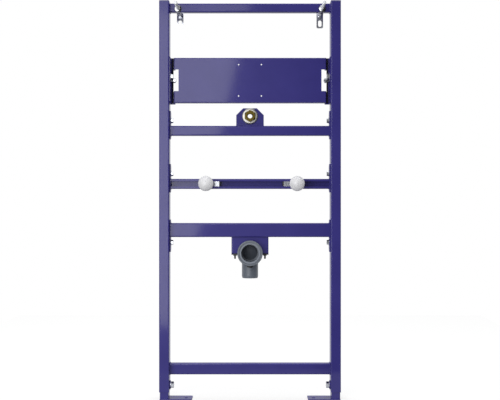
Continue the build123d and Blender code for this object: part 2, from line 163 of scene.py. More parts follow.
dress(cap_plastic, "left_post_cap", "right_post_cap")

# Weld beads: the top and bottom crossbars are welded to the posts, the other bars to their end plates
# and the legs to the foot plates. Each bead is a row of frozen ripples under the same paint.
BAR_BEAD = 2.2 * mm
PLATE_BEAD = 1.3 * mm
FOOT_BEAD = 1.2 * mm
RIPPLE_PITCH = 1.6
RIPPLE_VALLEY = 0.84
RIPPLE_CREST = 0.45
BEAD_SIDES = 10
BEAD_SHARP = 60
PLATE_BEAD_FRONT = 3 * mm
PLATE_BEAD_SHORT = 5 * mm
FOOT_BEAD_INSET = 3 * mm
MERGE_GAP = 0.001 * mm
AXIS_TURNS = {
    "x": Matrix.Rotation(math.pi / 2, 4, "Y"),
    "y": Matrix.Rotation(-math.pi / 2, 4, "X"),
    "z": Matrix.Identity(4),
}


def made_since(bm, old):
    """List the vertices that weren't there before."""
    return [vert for vert in bm.verts if vert not in old]


def turn(bm, outline, steps):
    """Spin an outline of (radius, height) points round Z into a closed skin and give its vertices."""
    old = set(bm.verts)
    points = [bm.verts.new((radius, 0, height)) for radius, height in outline]
    edges = [bm.edges.new(pair) for pair in zip(points, points[1:])]
    bmesh.ops.spin(
        bm, geom=points + edges, cent=(0, 0, 0), axis=(0, 0, 1), dvec=(0, 0, 0),
        angle=2 * math.pi, steps=steps, use_merge=True,
    )
    bmesh.ops.remove_doubles(bm, verts=made_since(bm, old), dist=MERGE_GAP)
    made = made_since(bm, old)
    faces = list({face for vert in made for face in vert.link_faces})
    bmesh.ops.recalc_face_normals(bm, faces=faces)
    return made


def set_in_place(bm, verts, axis, place):
    """Turn what was made along Z to another axis and move it to its place."""
    bmesh.ops.transform(bm, matrix=Matrix.Translation(place) @ AXIS_TURNS[axis], verts=verts)


def weld(bm, start, axis, length, radius):
    """Lay a rippled bead from a point along an axis, with its ripples spaced in bead radii."""
    count = max(3, round(length / (RIPPLE_PITCH * radius)))
    pitch = length / count
    outline = [(0, 0)]
    for ripple in range(count):
        outline += [(RIPPLE_VALLEY * radius, ripple * pitch), (radius, (ripple + RIPPLE_CREST) * pitch)]
    outline += [(RIPPLE_VALLEY * radius, length), (0, length)]
    set_in_place(bm, turn(bm, outline, BEAD_SIDES), axis, start)


def finish_piece(bm, name, material, body, sharp_degrees=38):
    """Turn a bmesh into a smooth-shaded piece that rides on a body."""
    mesh = bpy.data.meshes.new(name)
    bm.to_mesh(mesh)
    bm.free()
    mesh.shade_smooth()
    mesh.set_sharp_from_angle(angle=math.radians(sharp_degrees))
    mesh.materials.append(material)
    piece = bpy.data.objects.new(name, mesh)
    bpy.context.scene.collection.objects.link(piece)
    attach(piece, body)
    return piece


left_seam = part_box("left_post")[1][0]
right_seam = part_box("right_post")[0][0]
bm = bmesh.new()
for bar in ("top_crossbar", "bottom_crossbar"):
    low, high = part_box(bar)
    upright = high[2] - low[2] - 2 * BAR_BEAD
    level = high[1] - low[1] - 2 * BAR_BEAD
    for x in (left_seam, right_seam):
        weld(bm, (x, low[1], low[2] + BAR_BEAD), "z", upright, BAR_BEAD)
        weld(bm, (x, low[1] + BAR_BEAD, low[2]), "y", level, BAR_BEAD)
        if bar == "bottom_crossbar":
            weld(bm, (x, low[1] + BAR_BEAD, high[2]), "y", level, BAR_BEAD)
for bar in ("inlet_crossbar", "drain_crossbar", "fixing_rail"):
    low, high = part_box(bar)
    for x in (low[0], high[0]):
        for z in (low[2], high[2]):
            start = (x, low[1] + PLATE_BEAD_FRONT, z)
            weld(bm, start, "y", high[1] - low[1] - PLATE_BEAD_SHORT, PLATE_BEAD)
finish_piece(bm, "frame_welds", powder_coat, "frame", BEAD_SHARP)

for side in ("left", "right"):
    low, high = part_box(f"{side}_leg")
    bm = bmesh.new()
    inner = high[0] if side == "left" else low[0]
    deep = high[1] - low[1] - 2 * FOOT_BEAD_INSET
    wide = high[0] - low[0] - 2 * FOOT_BEAD_INSET
    weld(bm, (inner, low[1] + FOOT_BEAD_INSET, low[2]), "y", deep, FOOT_BEAD)
    weld(bm, (low[0] + FOOT_BEAD_INSET, low[1], low[2]), "x", wide, FOOT_BEAD)
    finish_piece(bm, f"{side}_foot_welds", powder_coat, f"{side}_leg", BEAD_SHARP)

# Leg clamps: a hexagon bolt in the boss on each post's inner face bears on the telescopic leg and holds it.
# The bolts are zinc plated steel, passivated to a bright grey with a slight cloudy bloom. The plate's
# crystals are drawn far coarser than they are, so that a close view shows them.
ZINC_BLOOM = 7 * mm
ZINC_CRYSTAL = 1.1 * mm
CRYSTAL_DEPTH = 0.03 * mm
zinc_plate, tree, place = start_material("blue_passivated_zinc_plate")
bloom = add_node(tree, "ShaderNodeTexNoise", {"Vector": place, "Scale": 1 / ZINC_BLOOM, "Detail": 4.0})
crystal = add_node(tree, "ShaderNodeTexVoronoi", {"Vector": place, "Scale": 1 / ZINC_CRYSTAL})
dull = add_node(
    tree, "ShaderNodeMapRange",
    {"Value": bloom.outputs["Fac"], "From Min": 0.3, "From Max": 0.7, "To Min": 0.15, "To Max": 0.24},
)
skin = add_node(
    tree, "ShaderNodeBump",
    {"Height": crystal.outputs["Distance"], "Strength": 0.08, "Distance": CRYSTAL_DEPTH},
)
tones = add_node(
    tree, "ShaderNodeValToRGB", {"Fac": bloom.outputs["Fac"]}, stops=[(0.3, "#a3a6ae"), (0.7, "#b9bbc1")],
)
shader = add_node(tree, "ShaderNodeBsdfPrincipled", {
    "Base Color": tones.outputs["Color"],
    "Metallic": 1.0,
    "Roughness": dull.outputs["Result"],
    "Normal": skin.outputs["Normal"],
})
add_node(tree, "ShaderNodeOutputMaterial", {"Surface": shader.outputs["BSDF"]})

CLAMP_FLATS = 17 * mm
CLAMP_HEAD = 7.6 * mm
CLAMP_WASHER = 10.2 * mm
CLAMP_WASHER_THICK = 2.3 * mm
BOSS_THICK = 3 * mm
WASHER_STEPS = 40
WASHER_EDGE = 0.25
HEX_STEPS = 48
HEX_FACE = 0.475
CHAMFER_SLOPE = math.tan(math.radians(30))


def hexagon(bm, flats, thick, bore, chamfer_base):
    """Make a hexagon on z = 0 with its corners turned off on top, and below if asked."""
    face = HEX_FACE * flats
    reach = flats
    outline = [(bore, 0), (face, 0), (reach, 0), (reach, thick), (face, thick), (bore, thick)]
    if bore:
        outline.append((bore, 0))
    made = turn(bm, outline, HEX_STEPS)
    for vert in made:
        if vert.co.xy.length > 0.9 * reach:
            corner = math.atan2(vert.co.y, vert.co.x) % (math.pi / 3) - math.pi / 6
            radius = flats / 2 / math.cos(corner)
            vert.co.xy = vert.co.xy.normalized() * radius
            if vert.co.z > 0.5 * thick:
                vert.co.z = thick - (radius - face) * CHAMFER_SLOPE
            elif chamfer_base:
                vert.co.z = (radius - face) * CHAMFER_SLOPE
    return made


def bolt(bm, flats, head, washer, thick, place, inward):
    """Set a washer and a bolt head on a plate, pointing inward along X."""
    old = set(bm.verts)
    edge = WASHER_EDGE * thick
    outline = [(0, 0), (washer, 0), (washer, thick - edge), (washer - edge, thick), (0, thick)]
    turn(bm, outline, WASHER_STEPS)
    bmesh.ops.translate(bm, vec=(0, 0, thick), verts=hexagon(bm, flats, head, 0, False))
    facing = Matrix.Rotation(inward * math.pi / 2, 4, "Y")
    bmesh.ops.transform(bm, matrix=Matrix.Translation(place) @ facing, verts=made_since(bm, old))


low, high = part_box("leg_clamp_bosses")
bm = bmesh.new()
for x, inward in ((low[0] + BOSS_THICK, 1), (high[0] - BOSS_THICK, -1)):
    place = (x, (low[1] + high[1]) / 2, (low[2] + high[2]) / 2)
    bolt(bm, CLAMP_FLATS, CLAMP_HEAD, CLAMP_WASHER, CLAMP_WASHER_THICK, place, inward)
finish_piece(bm, "leg_clamp_bolts", zinc_plate, "frame")

# Flange bolts: M8 hexagon bolts with a washer, one through each end plate of the three bolted crossbars.
# They are the same zinc plated steel as the leg clamps' bolts.
FLANGE_FLATS = 13 * mm
FLANGE_HEAD = 5.6 * mm
FLANGE_WASHER = 9.2 * mm
FLANGE_WASHER_THICK = 1.8 * mm
FLANGE_BOLT_RISE = 16.5 * mm
bm = bmesh.new()
for bar, rise in (("inlet_crossbar", 1), ("fixing_rail", 1), ("drain_crossbar", -1)):
    low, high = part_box(bar)
    y = (low[1] + high[1]) / 2
    z = high[2] + FLANGE_BOLT_RISE if rise > 0 else low[2] - FLANGE_BOLT_RISE
    for x, inward in ((low[0], 1), (high[0], -1)):
        bolt(bm, FLANGE_FLATS, FLANGE_HEAD, FLANGE_WASHER, FLANGE_WASHER_THICK, (x, y, z), inward)
finish_piece(bm, "flange_bolts", zinc_plate, "frame")

# Panel bolts: each panel bracket is held to its post by an M10 hexagon bolt.
# A threaded M8 stud with a nut stands below it, in the panel's window, to hold the panel's cover.
# All of them are zinc plated steel.
PANEL_FLATS = 17 * mm
PANEL_HEAD = 6.2 * mm
PANEL_WASHER = 10 * mm
PANEL_WASHER_THICK = 1.6 * mm
PANEL_BOLT_RISE = 11 * mm
PANEL_BOLT_Y = 1.75 * mm
BRACKET_SHEET = 2.5 * mm
STUD_DROP = 10.4 * mm
STUD_BEHIND = 12.25 * mm
STUD_OUT = 16.5 * mm
STUD_NUT_FLATS = 13 * mm
STUD_NUT_THICK = 6.5 * mm
STUD_NUT_OUT = 8 * mm
STUD_RADIUS = 4 * mm
STUD_PITCH = 1.25 * mm
STUD_NUT_BORE = 0.8 * STUD_RADIUS
THREAD_DEPTH = 0.6
THREAD_STEPS = 16
THREAD_MERGE = 0.01 * mm
TIP_TAPER = 0.86


def thread(bm, radius, pitch, length, steps):
    """Wind a thread up Z from 0: its zigzag is spun while it climbs a pitch, and its ends are closed."""
    old = set(bm.verts)
    root = radius - THREAD_DEPTH * pitch
    outline = []
    for ridge in range(-2, math.ceil(length / pitch) + 2):
        foot = ridge * pitch
        # Crest, flank and root are shares of the pitch.
        outline += [(radius, foot), (radius, foot + 0.15 * pitch)]
        outline += [(root, foot + 0.5 * pitch), (root, foot + 0.65 * pitch)]
    points = [bm.verts.new((across, 0, along)) for across, along in outline]
    edges = [bm.edges.new(pair) for pair in zip(points, points[1:])]
    bmesh.ops.spin(
        bm, geom=points + edges, cent=(0, 0, 0), axis=(0, 0, 1), dvec=(0, 0, pitch / steps),
        angle=2 * math.pi, steps=steps, use_merge=False,
    )
    bmesh.ops.remove_doubles(bm, verts=made_since(bm, old), dist=THREAD_MERGE)
    for along, outward in ((0, -1), (length, 1)):
        made = made_since(bm, old)
        parts = made + list({edge for vert in made for edge in vert.link_edges})
        parts += list({face for vert in made for face in vert.link_faces})
        bmesh.ops.bisect_plane(
            bm, geom=parts, dist=MERGE_GAP,
            plane_co=(0, 0, along), plane_no=(0, 0, outward), clear_outer=True,
        )
    made = made_since(bm, old)
    rims = [edge for edge in {edge for vert in made for edge in vert.link_edges} if edge.is_boundary]
    tips = list({vert for edge in rims for vert in edge.verts})
    bmesh.ops.holes_fill(bm, edges=rims, sides=0)
    bmesh.ops.scale(bm, vec=(TIP_TAPER, TIP_TAPER, 1), verts=tips)
    faces = list({face for vert in made for face in vert.link_faces})
    bmesh.ops.recalc_face_normals(bm, faces=faces)
    return made


panel_low, panel_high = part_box("control_panel")
panel_z = (panel_low[2] + panel_high[2]) / 2
bm = bmesh.new()
for side, inward in (("left", 1), ("right", -1)):
    low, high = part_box(f"{side}_panel_bracket")
    x = low[0] + BRACKET_SHEET if side == "left" else high[0] - BRACKET_SHEET
    place = (x, PANEL_BOLT_Y, panel_z + PANEL_BOLT_RISE)
    bolt(bm, PANEL_FLATS, PANEL_HEAD, PANEL_WASHER, PANEL_WASHER_THICK, place, inward)
    old = set(bm.verts)
    thread(bm, STUD_RADIUS, STUD_PITCH, STUD_OUT, THREAD_STEPS)
    nut = hexagon(bm, STUD_NUT_FLATS, STUD_NUT_THICK, STUD_NUT_BORE, True)
    bmesh.ops.translate(bm, vec=(0, 0, STUD_NUT_OUT), verts=nut)
    place = (x, PANEL_BOLT_Y + STUD_BEHIND, panel_z + PANEL_BOLT_RISE - STUD_DROP)
    facing = Matrix.Rotation(inward * math.pi / 2, 4, "Y")
    bmesh.ops.transform(bm, matrix=Matrix.Translation(place) @ facing, verts=made_since(bm, old))
finish_piece(bm, "panel_bolts", zinc_plate, "frame")

# Shade strips: a strip of dull, finely pitted black on each bracket's web, which takes up the gap between
# the bracket and the panel's end.
# It is painted shade: its black stands for the deep shade in that narrow gap.
STRIP_INSET = 3 * mm
STRIP_WIDTH = 4.2 * mm
STRIP_DEPTH = 3 * mm
STRIP_ROUND = 0.6 * mm
STRIP_PIT = 1.3 * mm
PIT_DEPTH = 0.2 * mm
shade_strip_black, tree, place = start_material("black_painted_shade_strip")
pits = add_node(tree, "ShaderNodeTexVoronoi", {"Vector": place, "Scale": 1 / STRIP_PIT})
skin = add_node(
    tree, "ShaderNodeBump", {"Height": pits.outputs["Distance"], "Strength": 0.5, "Distance": PIT_DEPTH},
)
tones = add_node(
    tree, "ShaderNodeValToRGB",
    {"Fac": pits.outputs["Distance"]}, stops=[(0.3, "#0c0c0d"), (0.7, "#131314")],
)
shader = add_node(tree, "ShaderNodeBsdfPrincipled", {
    "Base Color": tones.outputs["Color"],
    "Roughness": 0.85,
    "Normal": skin.outputs["Normal"],
    "IOR": 1.5,
})
add_node(tree, "ShaderNodeOutputMaterial", {"Surface": shader.outputs["BSDF"]})


def rounded_block(bm, size, centre, radius):
    """Make a block with rounded edges."""
    old = set(bm.verts)
    bmesh.ops.create_cube(bm, size=1)
    made = made_since(bm, old)
    bmesh.ops.scale(bm, vec=size, verts=made)
    bmesh.ops.translate(bm, vec=centre, verts=made)
    edges = list({edge for vert in made for edge in vert.link_edges})
    bmesh.ops.bevel(bm, geom=edges, offset=radius, segments=3, profile=0.5, affect="EDGES", material=-1)


strip_size = (STRIP_WIDTH, STRIP_DEPTH, panel_high[2] - panel_low[2])
bm = bmesh.new()
for side, inward in (("left", 1), ("right", -1)):
    low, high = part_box(f"{side}_panel_bracket")
    x = low[0] + BRACKET_SHEET if side == "left" else high[0] - BRACKET_SHEET
    x += inward * (STRIP_INSET + STRIP_WIDTH / 2)
    web_front = high[1] - BRACKET_SHEET
    rounded_block(bm, strip_size, (x, web_front - STRIP_DEPTH / 2, panel_z), STRIP_ROUND)
finish_piece(bm, "panel_painted_shade_strips", shade_strip_black, "frame")

# Wall anchors: threaded M10 rods through the top crossbar, each with a slotted strap on its back end.
# Nuts and straps have the bright zinc plate; on the rolled thread of the rods it is duller and paler.
ROD_RADIUS = 4.85 * mm
ROD_PITCH = 1.5 * mm
ROD_ROOT = ROD_RADIUS - THREAD_DEPTH * ROD_PITCH
NUT_FLATS = 18 * mm
NUT_THICK = 8 * mm
THREAD_SHARP = 25
THREAD_BLOOM = 4 * mm
dull_zinc, tree, place = start_material("dull_zinc_on_rolled_thread")
bloom = add_node(tree, "ShaderNodeTexNoise", {"Vector": place, "Scale": 1 / THREAD_BLOOM, "Detail": 3.0})
tones = add_node(
    tree, "ShaderNodeValToRGB", {"Fac": bloom.outputs["Fac"]}, stops=[(0.3, "#c2c4c9"), (0.7, "#d2d4d8")],
)
shader = add_node(tree, "ShaderNodeBsdfPrincipled", {
    "Base Color": tones.outputs["Color"],
    "Metallic": 0.6,
    "Roughness": 0.5,
})
add_node(tree, "ShaderNodeOutputMaterial", {"Surface": shader.outputs["BSDF"]})
dress(zinc_plate, "left_wall_strap", "right_wall_strap")
bar_low, bar_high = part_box("top_crossbar")
strap_low, strap_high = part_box("left_wall_strap")
anchor_places = []
for side in ("left", "right"):
    low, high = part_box(f"{side}_wall_rod")
    x = (low[0] + high[0]) / 2
    z = (low[2] + high[2]) / 2
    anchor_places.append((x, z))
    bm = bmesh.new()
    winding = thread(bm, ROD_RADIUS, ROD_PITCH, high[1] - low[1], THREAD_STEPS)
    set_in_place(bm, winding, "y", (x, low[1], z))
    rod = finish_piece(bm, f"{side}_threaded_rod", dull_zinc, "frame", THREAD_SHARP)
    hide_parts(f"{side}_wall_rod")
bm = bmesh.new()
for x, z in anchor_places:
    for y in (bar_low[1] - NUT_THICK, bar_high[1], strap_low[1] - NUT_THICK, strap_high[1]):
        set_in_place(bm, hexagon(bm, NUT_FLATS, NUT_THICK, ROD_ROOT, True), "y", (x, y, z))
nuts = finish_piece(bm, "anchor_hexagon_nuts", zinc_plate, "frame")
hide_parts("anchor_nuts")

# Anchor washers: plain rings under the nuts on the crossbar, which keep them from scoring the paint.
# They are black enamelled steel, a thin stoved coat that shines softly and is never quite even.
# Their black is partly painted shade, which stands for the dark ring of shade round each nut.
WASHER_RADIUS = 10.9 * mm
WASHER_BORE = 5.3 * mm
WASHER_THICK = 1.6 * mm
ENAMEL_DRIFT = 6 * mm
black_enamel, tree, place = start_material("stoved_black_enamel")
drift = add_node(tree, "ShaderNodeTexNoise", {"Vector": place, "Scale": 1 / ENAMEL_DRIFT, "Detail": 3.0})
gloss = add_node(
    tree, "ShaderNodeMapRange",
    {"Value": drift.outputs["Fac"], "From Min": 0.3, "From Max": 0.7, "To Min": 0.32, "To Max": 0.42},
)
tones = add_node(
    tree, "ShaderNodeValToRGB", {"Fac": drift.outputs["Fac"]}, stops=[(0.3, "#131316"), (0.7, "#1b1b1f")],
)
shader = add_node(tree, "ShaderNodeBsdfPrincipled", {
    "Base Color": tones.outputs["Color"],
    "Roughness": gloss.outputs["Result"],
    "IOR": 1.5,
})
add_node(tree, "ShaderNodeOutputMaterial", {"Surface": shader.outputs["BSDF"]})
bm = bmesh.new()
ring = [
    (WASHER_BORE, 0), (WASHER_RADIUS, 0), (WASHER_RADIUS, 0.8 * WASHER_THICK),
    (0.97 * WASHER_RADIUS, WASHER_THICK), (WASHER_BORE, WASHER_THICK), (WASHER_BORE, 0),
]
for x, z in anchor_places:
    for y in (bar_low[1] - WASHER_THICK, bar_high[1]):
        set_in_place(bm, turn(bm, ring, WASHER_STEPS), "y", (x, y, z))
finish_piece(bm, "anchor_washers", black_enamel, "frame")

# Inlet collar: a turned ring between the bracket and the hexagon, with a broad rounded edge.
# It is satin nickel plate on brass, a warm pale metal whose fine blasted grain spreads each highlight.
# The grain is drawn coarser than it is, so that a close view shows it.
NICKEL_GRAIN = 0.8 * mm
COLLAR_ROUND = 4 * mm
COLLAR_BORE = 10.75 * mm
ROUND_STEPS = 6
COLLAR_STEPS = 72
satin_nickel, tree, place = start_material("satin_nickel_plate")
grain = add_node(tree, "ShaderNodeTexNoise", {"Vector": place, "Scale": 1 / NICKEL_GRAIN, "Detail": 2.0})
skin = add_node(
    tree, "ShaderNodeBump", {"Height": grain.outputs["Fac"], "Strength": 0.15, "Distance": GRAIN_DEPTH},
)
tones = add_node(
    tree, "ShaderNodeValToRGB", {"Fac": grain.outputs["Fac"]}, stops=[(0.3, "#adaba5"), (0.7, "#b9b7b2")],
)
shader = add_node(tree, "ShaderNodeBsdfPrincipled", {
    "Base Color": tones.outputs["Color"],
    "Metallic": 1.0,
    "Roughness": 0.46,
    "Normal": skin.outputs["Normal"],
})
add_node(tree, "ShaderNodeOutputMaterial", {"Surface": shader.outputs["BSDF"]})
low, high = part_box("inlet_collar")
inlet_x = (low[0] + high[0]) / 2
inlet_z = (low[2] + high[2]) / 2
collar_radius = (high[0] - low[0]) / 2
collar_thick = high[1] - low[1]
outline = [(COLLAR_BORE, collar_thick), (collar_radius, collar_thick)]
for step in range(ROUND_STEPS + 1):
    angle = step / ROUND_STEPS * math.pi / 2
    outline.append((
        collar_radius - COLLAR_ROUND * (1 - math.cos(angle)),
        COLLAR_ROUND * (1 - math.sin(angle)),
    ))
outline += [(COLLAR_BORE, 0), (COLLAR_BORE, collar_thick)]
bm = bmesh.new()
set_in_place(bm, turn(bm, outline, COLLAR_STEPS), "y", (inlet_x, low[1], inlet_z))
collar = finish_piece(bm, "inlet_collar_ring", satin_nickel, "frame")
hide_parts("inlet_collar")

# Inlet fitting: a hexagon in front of the collar, a barrel through the bracket and a lock nut behind.
# It is turned and milled from brass bar and left bare and bright, with fine rings from the tool about the
# bore. The rings are drawn at about three times their real spacing, so that a close view shows them.
TOOL_MARK = 0.9 * mm
WAVE_PERIOD = 2 * math.pi / 20
BARREL_RADIUS = 10.4 * mm
BARREL_INSET = 0.3 * mm
BARREL_STEPS = 48
BARREL_SHARP = 28
INLET_BORE = 7.3 * mm
INLET_PITCH = 1.8 * mm
INLET_GROOVE = 0.8 * mm
LOCK_FLATS = 27 * mm
LOCK_THICK = 7 * mm
HEXAGON_THICK = 9 * mm
HEXAGON_BORE = BARREL_RADIUS - 1 * mm
bare_brass, tree, place = start_material("machined_brass")
centred = add_node(tree, "ShaderNodeMapping", {"Vector": place, "Location": (-inlet_x, 0, -inlet_z)})
marks = add_node(
    tree, "ShaderNodeTexWave",
    {
        "Vector": centred.outputs["Vector"],
        "Scale": WAVE_PERIOD / TOOL_MARK,
        "Distortion": 0.4,
        "Detail": 2.0,
    },
    wave_type="RINGS", rings_direction="Y",
)
dull = add_node(
    tree, "ShaderNodeMapRange",
    {"Value": marks.outputs["Fac"], "From Min": 0.0, "From Max": 1.0, "To Min": 0.06, "To Max": 0.12},
)
tones = add_node(
    tree, "ShaderNodeValToRGB", {"Fac": marks.outputs["Fac"]}, stops=[(0.3, "#675927"), (0.7, "#766730")],
)
shader = add_node(tree, "ShaderNodeBsdfPrincipled", {
    "Base Color": tones.outputs["Color"],
    "Metallic": 1.0,
    "Roughness": dull.outputs["Result"],
})
add_node(tree, "ShaderNodeOutputMaterial", {"Surface": shader.outputs["BSDF"]})
low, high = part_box("inlet_fitting")
bm = bmesh.new()
quarter = Matrix.Rotation(math.pi / 2, 4, "Z")
front = hexagon(bm, high[0] - low[0], HEXAGON_THICK, HEXAGON_BORE, True)
bmesh.ops.transform(bm, matrix=quarter, verts=front)
set_in_place(bm, front, "y", (inlet_x, low[1], inlet_z))
lock = hexagon(bm, LOCK_FLATS, LOCK_THICK, HEXAGON_BORE, True)
bmesh.ops.transform(bm, matrix=quarter, verts=lock)
set_in_place(bm, lock, "y", (inlet_x, high[1] - LOCK_THICK, inlet_z))
barrel_length = high[1] - low[1] - 2 * BARREL_INSET
outline = [(BARREL_RADIUS, 0), (INLET_BORE + INLET_PITCH, 0)]
ridges = int(barrel_length / INLET_PITCH) - 1
for ridge in range(ridges):
    outline.append((INLET_BORE, (ridge + 0.75) * INLET_PITCH))
    outline.append((INLET_BORE + INLET_GROOVE, (ridge + 1.25) * INLET_PITCH))
outline.append((INLET_BORE + INLET_PITCH / 2, barrel_length))
outline += [(BARREL_RADIUS, barrel_length), (BARREL_RADIUS, 0)]
set_in_place(bm, turn(bm, outline, BARREL_STEPS), "y", (inlet_x, low[1] + BARREL_INSET, inlet_z))
fitting = finish_piece(bm, "inlet_brass_fitting", bare_brass, "frame", BARREL_SHARP)
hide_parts("inlet_fitting")

# Fixing studs: a steel slide runs in the rail's slot with an M10 stud on it for the urinal's fixing hole.
# Slide and stud are zinc plated; a black rubber buffer on the slide's inner end keeps it from rattling.
# The rubber's moulded grain is drawn coarser than it is, so that a close view shows it.
BUFFER_LENGTH = 4 * mm
BUFFER_HEIGHT = 14.2 * mm
BUFFER_DEPTH = 6 * mm
BUFFER_ROUND = 0.7 * mm
RUBBER_GRAIN = 1.2 * mm
# The same black also paints the shadow crescent on the waste elbow's spigot.
black_rubber_and_shade, tree, place = start_material("moulded_black_rubber_and_painted_shadow")
grain = add_node(tree, "ShaderNodeTexNoise", {"Vector": place, "Scale": 1 / RUBBER_GRAIN, "Detail": 2.0})
skin = add_node(
    tree, "ShaderNodeBump", {"Height": grain.outputs["Fac"], "Strength": 0.2, "Distance": GRAIN_DEPTH},
)
tones = add_node(
    tree, "ShaderNodeValToRGB", {"Fac": grain.outputs["Fac"]}, stops=[(0.3, "#0f0f10"), (0.7, "#161617")],
)
shader = add_node(tree, "ShaderNodeBsdfPrincipled", {
    "Base Color": tones.outputs["Color"],
    "Roughness": 0.62,
    "Normal": skin.outputs["Normal"],
    "IOR": 1.5,
})
add_node(tree, "ShaderNodeOutputMaterial", {"Surface": shader.outputs["BSDF"]})
for side, inward in (("left", 1), ("right", -1)):
    dress(zinc_plate, f"{side}_slide_plate")
    low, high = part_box(f"{side}_stud")
    stud_x = (low[0] + high[0]) / 2
    stud_z = (low[2] + high[2]) / 2
    bm = bmesh.new()
    winding = thread(bm, ROD_RADIUS, ROD_PITCH, high[1] - low[1], THREAD_STEPS)
    set_in_place(bm, winding, "y", (stud_x, low[1], stud_z))
    stud = finish_piece(bm, f"{side}_threaded_stud", zinc_plate, f"{side}_stud", THREAD_SHARP)
    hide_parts(f"{side}_stud")
    slide_low, slide_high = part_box(f"{side}_slide_plate")
    end_x = slide_high[0] if inward > 0 else slide_low[0]
    bm = bmesh.new()
    centre = (end_x + inward * BUFFER_LENGTH / 2, slide_low[1] + BUFFER_DEPTH / 2, stud_z)
    rounded_block(bm, (BUFFER_LENGTH, BUFFER_DEPTH, BUFFER_HEIGHT), centre, BUFFER_ROUND)
    finish_piece(bm, f"{side}_slide_buffer", black_rubber_and_shade, f"{side}_stud")

# Stud guards: hollow mushroom caps pushed over the studs, which keep the threads clean until they are used.
# They are moulded in white polyethylene, waxy and softly shining.
GUARD_DOME = 15 * mm
GUARD_RIM = 3 * mm
GUARD_WALL = 2 * mm
GUARD_ROUND = 0.8 * mm
GUARD_SLEEVE = 9 * mm
GUARD_SLEEVE_LENGTH = 25 * mm
GUARD_BORE = ROD_RADIUS + 0.3 * mm
GUARD_DIMPLE = 0.2 * mm
GUARD_STEPS = 64
DOME_STEPS = 20
HOLLOW_STEPS = 14
WAX_DRIFT = 9 * mm
white_plastic, tree, place = start_material("moulded_polyethylene_white")
drift = add_node(tree, "ShaderNodeTexNoise", {"Vector": place, "Scale": 1 / WAX_DRIFT, "Detail": 3.0})
gloss = add_node(
    tree, "ShaderNodeMapRange",
    {"Value": drift.outputs["Fac"], "From Min": 0.3, "From Max": 0.7, "To Min": 0.3, "To Max": 0.38},
)
tones = add_node(
    tree, "ShaderNodeValToRGB", {"Fac": drift.outputs["Fac"]}, stops=[(0.3, "#cacacd"), (0.7, "#d2d2d4")],
)
shader = add_node(tree, "ShaderNodeBsdfPrincipled", {
    "Base Color": tones.outputs["Color"],
    "Roughness": gloss.outputs["Result"],
    "IOR": 1.51,
})
add_node(tree, "ShaderNodeOutputMaterial", {"Surface": shader.outputs["BSDF"]})
for side in ("left", "right"):
    low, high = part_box(f"{side}_stud_cap")
    guard_radius = (high[0] - low[0]) / 2
    ball = (guard_radius**2 + GUARD_DOME**2) / (2 * GUARD_DOME)
    sweep = math.acos(1 - GUARD_DOME / ball)
    hollow = ball - GUARD_WALL
    hollow_sweep = math.asin((guard_radius - GUARD_WALL) / hollow)
    sleeve_sweep = math.asin(GUARD_SLEEVE / hollow)
    outline = []
    for step in range(DOME_STEPS + 1):
        angle = step / DOME_STEPS * sweep
        outline.append((ball * math.sin(angle), ball * (1 - math.cos(angle))))
    rim = GUARD_DOME + GUARD_RIM
    outline += [
        (guard_radius, rim - GUARD_ROUND), (guard_radius - 0.3 * GUARD_ROUND, rim - 0.3 * GUARD_ROUND),
        (guard_radius - GUARD_ROUND, rim), (guard_radius - GUARD_WALL, rim),
    ]
    sleeve_foot = GUARD_WALL + hollow * (1 - math.cos(sleeve_sweep))
    for step in range(HOLLOW_STEPS + 1):
        angle = hollow_sweep + step / HOLLOW_STEPS * (sleeve_sweep - hollow_sweep)
        outline.append((hollow * math.sin(angle), GUARD_WALL + hollow * (1 - math.cos(angle))))
    outline += [
        (GUARD_SLEEVE, GUARD_SLEEVE_LENGTH - GUARD_ROUND), (GUARD_SLEEVE - GUARD_ROUND, GUARD_SLEEVE_LENGTH),
        (GUARD_BORE, GUARD_SLEEVE_LENGTH), (GUARD_BORE, sleeve_foot), (0, sleeve_foot - GUARD_DIMPLE),
    ]
    tip = ((low[0] + high[0]) / 2, low[1], (low[2] + high[2]) / 2)
    bm = bmesh.new()
    set_in_place(bm, turn(bm, outline, GUARD_STEPS), "y", tip)
    guard = finish_piece(bm, f"{side}_stud_guard", white_plastic, f"{side}_stud")
    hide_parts(f"{side}_stud_cap")

# Waste elbow: a socket with a wide mouth, a quarter bend and a bevelled spigot, with a lip seal in the
# mouth. Both are grey, the elbow moulded in polypropylene with a fine satin grain, the seal in soft rubber.
# The grain is drawn coarser than it is, so that a close view shows it.
PIPE_GRAIN = 1.0 * mm
PIPE_CLOUD = 25 * mm
grey_pipe, tree, place = start_material("moulded_polypropylene_grey")
grain = add_node(tree, "ShaderNodeTexNoise", {"Vector": place, "Scale": 1 / PIPE_GRAIN, "Detail": 2.0})
cloud = add_node(tree, "ShaderNodeTexNoise", {"Vector": place, "Scale": 1 / PIPE_CLOUD, "Detail": 2.0})
skin = add_node(
    tree, "ShaderNodeBump", {"Height": grain.outputs["Fac"], "Strength": 0.15, "Distance": GRAIN_DEPTH},
)
tones = add_node(
    tree, "ShaderNodeValToRGB", {"Fac": cloud.outputs["Fac"]}, stops=[(0.3, "#575d66"), (0.7, "#5d636c")],
)
shader = add_node(tree, "ShaderNodeBsdfPrincipled", {
    "Base Color": tones.outputs["Color"],
    "Roughness": 0.4,
    "Normal": skin.outputs["Normal"],
    "IOR": 1.49,
})
add_node(tree, "ShaderNodeOutputMaterial", {"Surface": shader.outputs["BSDF"]})
dress(grey_pipe, "drain_elbow")
grey_rubber, tree, place = start_material("moulded_grey_rubber")
grain = add_node(tree, "ShaderNodeTexNoise", {"Vector": place, "Scale": 1 / RUBBER_GRAIN, "Detail": 2.0})
skin = add_node(
    tree, "ShaderNodeBump", {"Height": grain.outputs["Fac"], "Strength": 0.2, "Distance": GRAIN_DEPTH},
)
tones = add_node(
    tree, "ShaderNodeValToRGB", {"Fac": grain.outputs["Fac"]}, stops=[(0.3, "#6c727c"), (0.7, "#737983")],
)
